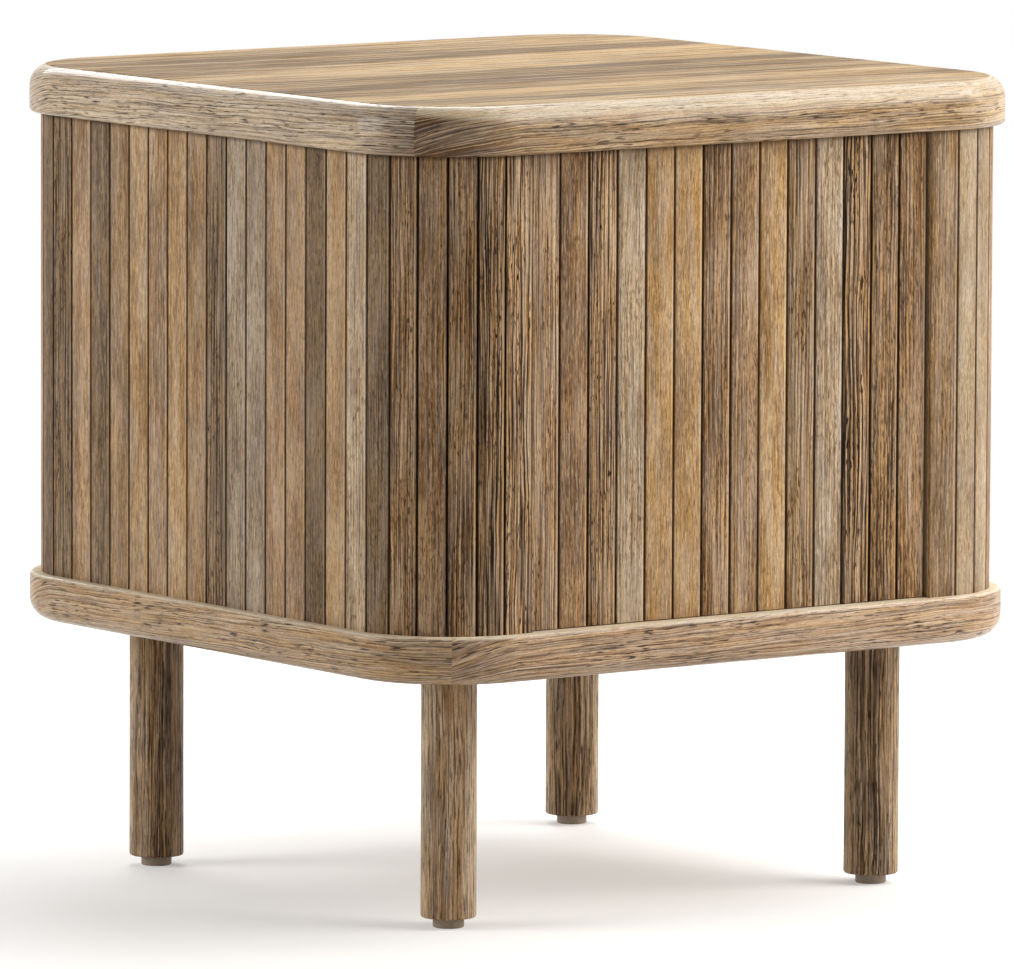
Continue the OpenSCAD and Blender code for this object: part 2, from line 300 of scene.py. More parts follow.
@dataclass(frozen=True)
class Wood:
    """Open-pored hardwood, planed, brushed and oiled: dark pores lie in it and its rings stand out.

    pore, fibre and mottle have a width and a length in millimetres and a strength, and bend has the
    first two. calm is the share of its contrast that a board without rings keeps.
    board is given where all the wood is one tone, and otherwise the colours are read from the mesh.
    """

    name: str
    follow: Follow
    roughness: float = 0.55
    specular: float = 0.1
    coat: float = 0.0
    coat_roughness: float = 0.1
    pore: Triple = (0.8, 6.0, 0.95)
    fibre: Triple = (0.95, 10.0, 1.0)
    mottle: Triple = (16.0, 90.0, 0.35)
    bend: Pair = (34.0, 150.0)
    calm: float = 0.3
    bump: float = 0.25
    board: Optional[Board] = None

    def material(self) -> bpy.types.Material:
        """Builds the material.

        Returns:
            The new material.
        """
        nodes = Nodes(bpy.data.materials.new(self.name))
        calc, mix, ease = nodes.calc, nodes.mix, nodes.ease
        across, deep, along = self._grain_space(nodes)
        look = self._look(nodes)
        dark_colour, light_colour = look[VEIN], look[SHINE]
        seed = calc("MULTIPLY", look["seed"], SEED_STEP)

        def noise(side: Any, width: float, length: float, detail: float, rough: float = 0.5) -> Any:
            """Noise in grain space in steps of this width and length, moved on by the board's seed."""
            axes = (side, width), (deep, width), (along, length)
            parts = [calc("MULTIPLY_ADD", source, 1 / size, seed) for source, size in axes]
            return nodes.noise(nodes.out("CombineXYZ", dict(enumerate(parts))), detail, rough)

        def shown(side: Any, mark: Mark) -> Any:
            """How much of a mark shows, from 0 to 1."""
            return ease(noise(side, mark.width, mark.length, mark.detail), mark.low, mark.high)

        # The grain wanders slowly, and a little at close range
        slow = noise(across, *self.bend, 2.0)
        wander = calc("MULTIPLY", calc("SUBTRACT", slow, 0.5), look["waver"])
        close = calc("SUBTRACT", noise(across, *CLOSE_BEND, 1.0), 0.5)
        wander = calc("ADD", wander, calc("MULTIPLY", close, CLOSE_WAVER))
        bent = calc("ADD", across, wander)
        ring = calc("DIVIDE", calc("MULTIPLY_ADD", deep, RING_TILT, bent), look["pitch"])
        place = calc("FRACT", ring)
        number = calc("ADD", calc("FLOOR", ring), seed)
        chance = nodes.out("TexWhiteNoise", {"W": number}, noise_dimensions="1D")
        depth = calc("MULTIPLY_ADD", chance, *RING_DEPTH)
        strength = calc("MULTIPLY", calc("MULTIPLY", depth, shown(bent, RING_PATCHES)), look["rings"])
        dark = calc("MULTIPLY", calc("SUBTRACT", 1.0, ease(place, *DARK_LINE)), strength)
        light = calc("MULTIPLY", ease(place, *LIGHT_LINE), strength)

        # Fibres show as fine streaks, light and dark, and run longer on boards with strong rings
        width, length, strong = self.fibre
        short = noise(bent, width, length, 2.0, 0.6)
        long = noise(bent, width, length * LONG_FIBRE, 2.0, 0.6)
        fibre = nodes.out("Mix", {0: look["rings"], 2: short, 3: long})
        contrast = calc("MULTIPLY_ADD", look["rings"], 1 - self.calm, self.calm)
        brushed = calc("MULTIPLY", contrast, strong)
        fibre_dark = calc("MULTIPLY", ease(fibre, *DARK_FIBRE), brushed)
        fibre_light = calc("MULTIPLY", ease(fibre, *LIGHT_FIBRE), brushed)

        # Pores are short dark dashes. Real ones are 0.3 mm wide, drawn wider so that they show
        width, length, strong = self.pore
        pore = ease(noise(bent, width, length, 1.0), *PORE)
        pore = calc("MULTIPLY", pore, calc("MULTIPLY_ADD", shown(bent, PORE_CROWDS), *PORE_CROWDING))
        pore = calc("MULTIPLY", pore, contrast)
        inked = calc("MULTIPLY", pore, strong)

        # The board's ground turns darker and lighter along its length
        width, length, strong = self.mottle
        mottle = noise(bent, width, length, 2.0)
        shade = calc("MULTIPLY", ease(mottle, *DARK_MOTTLE), strong)
        glow = calc("MULTIPLY", ease(mottle, *LIGHT_MOTTLE), strong)

        # Painted shade darkens the edges of a slat, so that the gaps between slats read darker, and a painted
        # highlight lights one arris in places
        rim = ease(calc("SUBTRACT", calc("ABSOLUTE", across), look["half"]), *EDGE_SHADE_RAMP)
        arris = calc("SUBTRACT", across, look["half"])
        arris = calc("MULTIPLY", ease(arris, *ARRIS_IN), ease(arris, *ARRIS_OUT))
        arris_highlight = calc("MULTIPLY", shown(across, ARRIS_HIGHLIGHT_PATCHES), arris)

        colour = look[TONE]
        for share, over in (
            (shade, dark_colour),
            (glow, light_colour),
            (fibre_light, light_colour),
            (fibre_dark, dark_colour),
            (light, light_colour),
            (dark, dark_colour),
            (inked, mix(1.0, dark_colour, PORE_TINT, "MULTIPLY")),
            (calc("MULTIPLY", rim, EDGE_SHARE), mix(1.0, dark_colour, EDGE_SHADE_TINT, "MULTIPLY")),
            (calc("MULTIPLY", arris_highlight, EDGE_SHARE), light_colour),
        ):
            colour = mix(share, colour, over)

        # Streaks that are a little greyer or browner in the same board, and a fine grit
        saturation = calc("MULTIPLY_ADD", shown(bent, BROWN_STREAKS), *SATURATION)
        value = calc("MULTIPLY_ADD", noise(across, *GRIT, 0.0), *VALUE)
        colour = nodes.out("HueSaturation", {"Saturation": saturation, "Value": value, "Color": colour})

        height = calc("SUBTRACT", calc("MULTIPLY", fibre, FIBRE_RISE), calc("MULTIPLY", pore, PORE_DEPTH))
        height = calc("SUBTRACT", height, calc("MULTIPLY", dark, RING_GROOVE))
        surface = {
            "Base Color": colour,
            "Roughness": calc("MULTIPLY_ADD", pore, PORE_ROUGHNESS, self.roughness),
            "Specular IOR Level": self.specular,
            "Normal": nodes.bump(height, self.bump),
            "Coat Weight": self.coat,
            "Coat Roughness": self.coat_roughness,
        }
        return nodes.end(nodes.out("BsdfPrincipled", surface))

    def _grain_space(self, nodes: Nodes) -> list[Any]:
        """Adds the nodes that give the grain its place.

        Args:
            nodes: the material's nodes.

        Returns:
            Millimetres across the grain, into the wood and along the grain.
        """
        if self.follow is Follow.SURFACE:
            source = nodes.out("UVMap", uv_map="UVMap")
        else:
            source = nodes.place()
        if self.follow is Follow.BLANK:
            # Turned so that the rings run nearly across the view of the two near sides
            source = nodes.out("Mapping", {"Vector": source, "Rotation": (0, 0, BLANK_TURN)})
        axes = nodes.add("SeparateXYZ", {0: nodes.scaled(source, 1 / MM)}).outputs
        return [axes[i] for i in AXES[self.follow]]

    def _look(self, nodes: Nodes) -> dict[str, Any]:
        """Adds the nodes that give the board's colours and figure.

        Args:
            nodes: the material's nodes.

        Returns:
            Values or sockets by name.
        """
        if self.board is not None:
            figure = {"rings": self.board.vein, "pitch": self.board.pitch, "seed": INNER_SEED}
            return {**self.board.layers(INNER_SEED), **figure, "waver": self.board.waver, "half": NO_EDGE}
        read = {
            name: nodes.add("Attribute", attribute_name=name, attribute_type="GEOMETRY").outputs
            for name in (TONE, VEIN, SHINE, GRAIN)
        }
        figure = nodes.add("SeparateColor", {0: read[GRAIN]["Color"]}).outputs
        return {
            **{name: read[name]["Color"] for name in (TONE, VEIN, SHINE)},
            "rings": figure[0],
            "pitch": nodes.calc("MULTIPLY", figure[1], PITCH_UNIT),
            "seed": figure[2],
            "waver": nodes.calc("MULTIPLY", read[GRAIN]["Alpha"], WAVER_UNIT),
            "half": nodes.calc("MULTIPLY", read[TONE]["Alpha"], HALF_WIDTH_UNIT),
        }


@dataclass(frozen=True)
class CottonCanvas:
    """Plain-woven cotton duck, unbleached: matt, with a visible over-and-under of its threads."""

    name: str = "canvas_cotton_duck"
    thread: float = 1.1
    warp: str = "#c9bb9c"
    weft: str = "#a8997b"
    lump: str = "#8f8064"
    lump_scale: float = 0.35
    bump: float = 0.2
    bump_strength: float = 0.8
    roughness: float = 0.92
    sheen: float = 0.2

    def material(self) -> bpy.types.Material:
        """Builds the material.

        Returns:
            The new material.
        """
        nodes = Nodes(bpy.data.materials.new(self.name))
        # Threads are 0.5 mm apart on the real cloth, drawn about twice as coarse so that they show
        step = nodes.scaled(nodes.out("UVMap", uv_map="UVMap"), 1000 / self.thread)
        threads = nodes.add("TexChecker", {"Vector": step, "Scale": 1.0}).outputs[1]
        lumps = nodes.noise(step, 3.0, scale=self.lump_scale)
        colour = nodes.mix(threads, linear(self.warp), linear(self.weft))
        surface = {
            "Base Color": nodes.mix(lumps, colour, linear(self.lump), "SOFT_LIGHT"),
            "Roughness": self.roughness,
            "Sheen Weight": self.sheen,
            "Normal": nodes.bump(nodes.calc("ADD", threads, lumps), self.bump, self.bump_strength),
        }
        return nodes.end(nodes.out("BsdfPrincipled", surface))


@dataclass(frozen=True)
class Plain:
    """A material of one ground colour with fine unevenness from its making.

    speck is the size of the unevenness in millimetres, and spread how much of the second colour it shows.
    """

    name: str
    ground: str
    second: str
    roughness: float
    metallic: float = 0.0
    speck: float = 1.5
    spread: float = 0.4
    bump: float = 0.03
    rough_change: float = 0.15
    rough_drop: float = 0.07

    def material(self) -> bpy.types.Material:
        """Builds the material.

        Returns:
            The new material.
        """
        nodes = Nodes(bpy.data.materials.new(self.name))
        grit = nodes.noise(nodes.place(), 3.0, 0.6, 1000 / self.speck)
        levels = {"From Min": GRIT_LEVELS[0], "From Max": GRIT_LEVELS[1], "To Max": self.spread}
        share = nodes.out("MapRange", {"Value": grit, **levels})
        smoothest = self.roughness - self.rough_drop
        surface = {
            "Base Color": nodes.mix(share, linear(self.ground), linear(self.second)),
            "Roughness": nodes.calc("MULTIPLY_ADD", grit, self.rough_change, smoothest),
            "Metallic": self.metallic,
            "Normal": nodes.bump(grit, self.bump),
        }
        return nodes.end(nodes.out("BsdfPrincipled", surface))


# Brushed and oiled hardwood of the slats: strong lines along each slat
SLAT_WOOD = Wood("slat_brushed_oiled_hardwood", Follow.SURFACE)
# Lipping round the panels: long grain with short dark pores, under a satin lacquer
LIPPING_WOOD = Wood(
    "panel_lipping_lacquered_hardwood",
    Follow.SURFACE,
    roughness=0.45,
    coat=0.4,
    pore=(1.0, 12.0, 1.0),
    fibre=(1.1, 14.0, 0.65),
    mottle=(14.0, 60.0, 0.2),
    bend=(22.0, 90.0),
    calm=0.8,
    bump=0.08,
)
# Top and underside of the panels: wide soft streaks under a matt lacquer
FACE_WOOD = Wood(
    "panel_face_lacquered_hardwood",
    Follow.SURFACE,
    roughness=0.7,
    specular=0.05,
    pore=(2.8, 40.0, 0.6),
    fibre=(4.2, 110.0, 0.7),
    mottle=(42.0, 520.0, 0.8),
    bend=(90.0, 500.0),
    calm=0.7,
)
# Turned legs, darker, with the grain of one blank each, oiled to a low sheen
LEG_WOOD = Wood(
    "leg_turned_oiled_hardwood",
    Follow.BLANK,
    roughness=0.5,
    specular=0.15,
    pore=(0.8, 12.0, 0.95),
    fibre=(0.95, 16.0, 1.0),
    mottle=(12.0, 60.0, 0.35),
    calm=0.6,
)
# Oak veneer of the inside: plain, with faint pores
INNER_LENGTHWAYS = Wood(
    "inner_oak_veneer_lengthways",
    Follow.BOARD_X,
    pore=(0.8, 6.0, 0.35),
    fibre=(0.95, 10.0, 0.25),
    mottle=(16.0, 90.0, 0.2),
    board=Board(Tone.TOP, 0.25, 7.0, 8.0),
)
INNER_UPRIGHT = replace(INNER_LENGTHWAYS, name="inner_oak_veneer_upright", follow=Follow.BOARD_Z)
# Turned zinc-plated steel pins and bolts: grey, satin
STEEL = Plain("steel_zinc_plated", "#b9b6ae", "#8f8d88", 0.35, metallic=1.0, speck=0.6)
# Moulded polypropylene glide, brown-grey: matt with a faint grit
GLIDE = Plain("glide_moulded_polypropylene", "#a39482", "#857663", 0.6, speck=1.2, spread=0.6)


class Finishes:
    """Every material, made once."""

    def __init__(self) -> None:
        """Builds the materials."""
        self.slat = SLAT_WOOD.material()
        self.lipping = LIPPING_WOOD.material()
        self.face = FACE_WOOD.material()
        self.leg = LEG_WOOD.material()
        self.inner_x = INNER_LENGTHWAYS.material()
        self.inner_z = INNER_UPRIGHT.material()
        self.canvas = CottonCanvas().material()
        self.steel = STEEL.material()
        self.glide = GLIDE.material()


# ---- Pieces ----


def to_mesh(name: str, bm: BMesh) -> bpy.types.Mesh:
    """Turns a bmesh into a mesh, and frees it."""
    mesh = bpy.data.meshes.new(name)
    bm.to_mesh(mesh)
    bm.free()
    return mesh


def put(name: str, data: Any) -> bpy.types.Object:
    """Puts an object with this data in the scene."""
    item = bpy.data.objects.new(name, data)
    bpy.context.scene.collection.objects.link(item)
    return item


def new_piece(
    name: str, bm: BMesh, materials: list[bpy.types.Material], nodes: list[str], body: str = "case"
) -> bpy.types.Object:
    """Turns a bmesh into a finished piece.

    Args:
        name: the piece's name.
        bm: its mesh, which is freed.
        materials: its materials, in the order of their numbers.
        nodes: CAD nodes that it stands for.
        body: CAD body that it rides on.

    Returns:
        The new object.
    """
    mesh = to_mesh(name, bm)
    for material in materials:
        mesh.materials.append(material)
    mesh.shade_smooth()
    mesh.set_sharp_from_angle(angle=SHARP_FROM)
    piece = put(name, mesh)
    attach(piece, body)
    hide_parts(*nodes)
    log.info("%s: %d faces", name, len(mesh.polygons))
    return piece


def paint(bm: BMesh, layers: dict[str, Colour], faces: Optional[Iterable[Any]] = None) -> None:
    """Writes a board's attributes on its faces.

    Args:
        bm: the mesh.
        layers: colour of each attribute.
        faces: the faces, or None for all.
    """
    chosen = list(bm.faces if faces is None else faces)
    for name, colour in layers.items():
        layer = bm.loops.layers.float_color.get(name) or bm.loops.layers.float_color.new(name)
        for loop in corners(chosen):
            loop[layer] = colour


def corners(faces: Iterable[Any]) -> list[Any]:
    """Every corner of these faces."""
    return [loop for face in faces for loop in face.loops]


def attributes(bm: BMesh, *names: str) -> list[Any]:
    """Colour attributes of a painted mesh."""
    return [bm.loops.layers.float_color[name] for name in names]


def blend(loop: Any, attribute: Any, colour: Vector, share: float) -> None:
    """Mixes a share of a colour into an attribute of one corner, and leaves its alpha."""
    loop[attribute] = (*Vector(loop[attribute][:3]).lerp(colour, share), loop[attribute][3])


def between(low: float, value: float, high: float) -> float:
    """The value, kept from low to high."""
    return min(high, max(low, value))


def lay_grain(bm: BMesh, place: Callable[[Any, Any], Pair]) -> None:
    """Writes the UV map: across the grain, then along it.

    Args:
        bm: the mesh.
        place: gives that pair for a face and one of its vertices.
    """
    layer = bm.loops.layers.uv.get("UVMap") or bm.loops.layers.uv.new("UVMap")
    for face in bm.faces:
        for loop in face.loops:
            loop[layer].uv = place(face, loop.vert)


def soften(bm: BMesh, edges: Iterable[Any], radius: float, segments: int) -> None:
    """Rounds edges.

    Args:
        bm: the mesh.
        edges: the edges to round.
        radius: width of the rounding.
        segments: its number of faces.
    """
    settings = {"offset_type": "OFFSET", "profile": 0.5, "affect": "EDGES", "material": -1}
    bmesh.ops.bevel(bm, geom=list(edges), offset=radius, segments=segments, clamp_overlap=True, **settings)


def rim_at(bm: BMesh, level: float) -> list[Any]:
    """Edges that lie at a level."""
    return [e for e in bm.edges if all(abs(v.co.z - level) < TINY for v in e.verts)]


def split(bm: BMesh, place: Iterable[float], normal: Iterable[float], geom: Any = None) -> None:
    """Cuts a mesh, or some of its geometry, along a plane."""
    geom = geom or bm.verts[:] + bm.edges[:] + bm.faces[:]
    bmesh.ops.bisect_plane(bm, geom=geom, dist=MERGE, plane_co=place, plane_no=normal)


def extrude(bm: BMesh, faces: Iterable[Any], move: Iterable[float]) -> None:
    """Draws faces out into a solid.

    Args:
        bm: the mesh.
        faces: the faces.
        move: how far their copies move.
    """
    grown = bmesh.ops.extrude_face_region(bm, geom=list(faces))
    moved = [v for v in grown["geom"] if isinstance(v, bmesh.types.BMVert)]
    bmesh.ops.translate(bm, verts=moved, vec=move)
    bmesh.ops.recalc_face_normals(bm, faces=bm.faces)


def paint_head_shade(bm: BMesh, level: float) -> None:
    """Paints shade on a slat above a level, where the top panel shades its head.

    Args:
        bm: the slat, painted, and cut at that level.
        level: height where its head starts.
    """
    tone, vein, shine = attributes(bm, TONE, VEIN, SHINE)
    for loop in corners(bm.faces):
        if loop.vert.co.z > level + TINY * 10:
            for layer in (tone, shine):
                blend(loop, layer, Vector(loop[vein][:3]), HEAD_SHADE)


def block(low: Vector, high: Vector) -> BMesh:
    """A box between two corners.

    Args:
        low: its lowest corner.
        high: its highest corner.

    Returns:
        A new bmesh.
    """
    bm = bmesh.new()
    size = Matrix.Diagonal((*(high - low), 1.0))
    bmesh.ops.create_cube(bm, size=1.0, matrix=Matrix.Translation((low + high) / 2) @ size)
    return bm


def append(bm: BMesh, part: BMesh) -> None:
    """Moves a part's mesh into another.

    Args:
        bm: the mesh that grows.
        part: the part, which is freed.
    """
    mesh = to_mesh("part", part)
    bm.from_mesh(mesh)
    bpy.data.meshes.remove(mesh)


@dataclass(frozen=True)
class Outline:
    """Plan of a rounded rectangle round the Z axis.

    A place on it is a length walked anticlockwise, seen from above, from the left end of the
    straight front. A length below zero is on the front left corner and the left side.
    """

    half_x: float
    half_y: float
    radius: float

    @property
    def turn(self) -> Pair:
        """Centre of the corner at +X, +Y."""
        return self.half_x - self.radius, self.half_y - self.radius

    @property
    def arc(self) -> float:
        """Length of a corner."""
        return self.radius * math.pi / 2

    @property
    def starts(self) -> list[float]:
        """Where the front, right, back and left sides start, and the full length."""
        x, y = self.turn
        sides = [2 * x, 2 * y, 2 * x, 2 * y]
        found = [0.0]
        for side in sides:
            found.append(found[-1] + side + self.arc)
        return found

    def point(self, place: float, inward: float, z: float = 0.0) -> Vector:
        """Point at a place on the outline.

        Args:
            place: length along the outline.
            inward: distance inside it.
            z: height.

        Returns:
            The point.
        """
        x, y = self.turn
        starts = self.starts
        place %= starts[-1]
        side = max(i for i in range(4) if starts[i] <= place + HAIR)
        straight = (2 * x, 2 * y)[side % 2]
        local = place - starts[side]
        half = (x, y)[side % 2]
        reach = (y, x)[side % 2] + self.radius - inward
        if local <= straight:
            flat = Vector((local - half, -reach, 0))
        else:
            angle = (local - straight) / self.radius
            r = self.radius - inward
            flat = Vector((half + r * math.sin(angle), -(y, x)[side % 2] - r * math.cos(angle), 0))
        turned = Matrix.Rotation(side * math.pi / 2, 3, "Z") @ flat
        return Vector((turned.x, turned.y, z))

    def locate(self, point: Vector) -> Pair:
        """Nearest place on the outline.

        Args:
            point: a point at any height.

        Returns:
            Length along the outline, and distance inside it.
        """
        x, y = self.turn
        starts = self.starts
        best = (math.inf, 0.0)
        for side in range(4):
            turned = Matrix.Rotation(-side * math.pi / 2, 3, "Z") @ Vector((point.x, point.y, 0))
            half, reach = ((x, y), (y, x))[side % 2]
            if turned.x < -half - TINY:
                continue
            if turned.x <= half:
                inward = reach + self.radius + turned.y
                local = turned.x + half
            else:
                if turned.y > TINY - reach:
                    continue
                out = Vector((turned.x - half, turned.y + reach))
                inward = self.radius - out.length
                local = 2 * half + self.radius * math.atan2(out.x, -out.y)
            if inward < best[0]:
                best = (inward, starts[side] + local)
        return best[1], best[0]

    def past_straight(self, side: int, offset: float) -> float:
        """Place at a distance from a side's middle, also past its straight stretch.

        Args:
            side: 0 for the front, then anticlockwise.
            offset: distance from the middle, along the side.

        Returns:
            Length along the outline.
        """
        half = self.turn[side % 2]
        start = self.starts[side]
        beyond = abs(offset) - half
        if beyond <= 0:
            return start + half + offset
        bent = self.radius * math.asin(min(1.0, beyond / self.radius))
        return start - bent if offset < 0 else start + 2 * half + bent

    def stations(self, first: float, last: float, step: float = math.radians(3.75)) -> list[float]:
        """Places from first to last, close together on the corners.

        Args:
            first: where they start.
            last: where they end.
            step: largest turn between two of them.

        Returns:
            The places.
        """
        total = self.starts[-1]
        found = {first, last}
        for lap in (-1, 0, 1):
            for side in range(4):
                begin = self.starts[side] + 2 * self.turn[side % 2] + lap * total
                count = round(math.pi / 2 / step)
                found.update(
                    p
                    for p in (begin + self.arc * i / count for i in range(count + 1))
                    if first + MERGE < p < last - MERGE
                )
        return sorted(found)

    def strip(self, span: Pair, depth: Pair, z: Pair) -> BMesh:
        """A solid strip that follows the outline.

        Args:
            span: where it starts and ends on the outline.
            depth: its outer and inner distance inside the outline.
            z: its lowest and highest level.

        Returns:
            A new bmesh.
        """
        bm = bmesh.new()
        places = self.stations(*span)
        outer = [bm.verts.new(self.point(p, depth[0], z[0])) for p in places]
        inner = [bm.verts.new(self.point(p, depth[1], z[0])) for p in places]
        steps = range(len(places) - 1)
        floor = [bm.faces.new((outer[i], inner[i], inner[i + 1], outer[i + 1])) for i in steps]
        extrude(bm, floor, (0, 0, z[1] - z[0]))
        return bm


# First seed number of each kind of piece
DOOR_SEEDS, LIPPING_SEEDS, FACE_SEEDS, LEG_SEEDS = 100, 200, 240, 300
BASE_SEEDS = 20
GOLDEN = 0.61803398875


def seed_of(number: int) -> float:
    """A number from 0 to 1 that is far from its neighbours'."""
    return (number * GOLDEN + 0.137) % 1.0


# ---- Sub-assemblies ----


@dataclass
class Cabinet:
    """Sizes that every sub-assembly shares, as in the part's source."""

    width: float = 0.500
    depth: float = 0.490
    corner: float = 0.076
    overhang: float = 0.0075
    body_z: float = 0.1945
    top_z: float = 0.4955
    seat: float = 0.0049
    skin: float = 0.0035
    gap: float = 0.001

    @property
    def panel_outline(self) -> Outline:
        """Outer edge of the panels."""
        return Outline(self.width / 2, self.depth / 2, self.corner)

    @property
    def skin_outline(self) -> Outline:
        """Outer face of the fixed slats."""
        in_by = self.overhang
        return Outline(self.width / 2 - in_by, self.depth / 2 - in_by, self.corner - in_by)


# From back to front on the left side, as they stand
LEFT_ROW = [
    Board(Tone.SMOKE, 0.85, 2.8, 3.0),
    Board(Tone.TAN, 0.25, 3.2),
    Board(Tone.SMOKE, 0.3, 3.0, 3.0),
    Board(Tone.TAUPE, 0.2, 3.0),
    Board(Tone.HONEY, 0.25, 3.6),
    Board(Tone.TAN, 0.35, 3.0),
    Board(Tone.HONEY, 0.25, 3.4),
    Board(Tone.TAUPE, 0.25, 3.0),
    Board(Tone.SMOKE, 0.9, 3.2, 3.0),
    Board(Tone.GREY, 0.5, 2.4, 2.0),
    Board(Tone.GREY, 0.2, 4.0),
    Board(Tone.TAN, 0.2, 3.2),
    Board(Tone.TAN, 0.25, 3.0),
    Board(Tone.SMOKE, 0.45, 2.6),
    Board(Tone.HONEY, 0.2, 3.4),
    Board(Tone.PALE, 0.6, 3.2, 2.0),
]
FRONT_LEFT_CORNER = [
    Board(Tone.SMOKE, 0.5, 3.0),
    Board(Tone.WALNUT, 0.75, 3.0, 3.0),
    Board(Tone.WALNUT, 0.5, 3.4),
    Board(Tone.WALNUT, 0.7, 3.0, 5.0),
    Board(Tone.UMBER, 0.95, 3.0, 4.0),
]
LEFT_STILE = Board(Tone.WALNUT, 1.0, 3.0, 7.0)
DOOR_ROW = [
    Board(Tone.TAN, 0.85, 3.6, 2.0),
    Board(Tone.WALNUT, 0.35, 3.4, 4.0),
    Board(Tone.WALNUT, 1.0, 3.2, 3.0),
    Board(Tone.PALE, 0.6, 4.6, 12.0),
    Board(Tone.AMBER, 0.3, 3.6),
    Board(Tone.AMBER, 0.25, 3.2),
    Board(Tone.WALNUT, 0.6, 3.4),
    Board(Tone.TAN, 0.55, 2.8, 3.0),
    Board(Tone.AMBER, 0.25, 3.4),
    Board(Tone.TAUPE, 0.85, 2.8, 4.0),
    Board(Tone.PALE, 0.55, 3.6, 3.0),
    Board(Tone.UMBER, 1.0, 3.6, 9.0),
    Board(Tone.UMBER, 0.6, 3.0, 4.0),
    Board(Tone.WALNUT, 0.45, 3.0, 5.0),
]
RIGHT_STILE = Board(Tone.TAUPE, 0.5, 3.0, 5.0)
FRONT_RIGHT_CORNER = [
    Board(Tone.CREAM, 0.15, 3.0),
    Board(Tone.CREAM, 0.25, 3.0),
    Board(Tone.TAN, 0.3, 3.0),
    Board(Tone.TAUPE, 0.3, 3.0),
    Board(Tone.HONEY, 0.25, 3.0),
]
# The sides that don't show take boards from the same batch
RIGHT_ROW = LEFT_ROW[5:] + LEFT_ROW[:5]
BACK_ROW = [LEFT_STILE, *DOOR_ROW[4:], *DOOR_ROW[:4], RIGHT_STILE]
BACK_RIGHT_CORNER = [LEFT_ROW[i] for i in (6, 2, 12, 5, 9)]
BACK_LEFT_CORNER = [LEFT_ROW[i] for i in (10, 3, 14, 1, 2)]


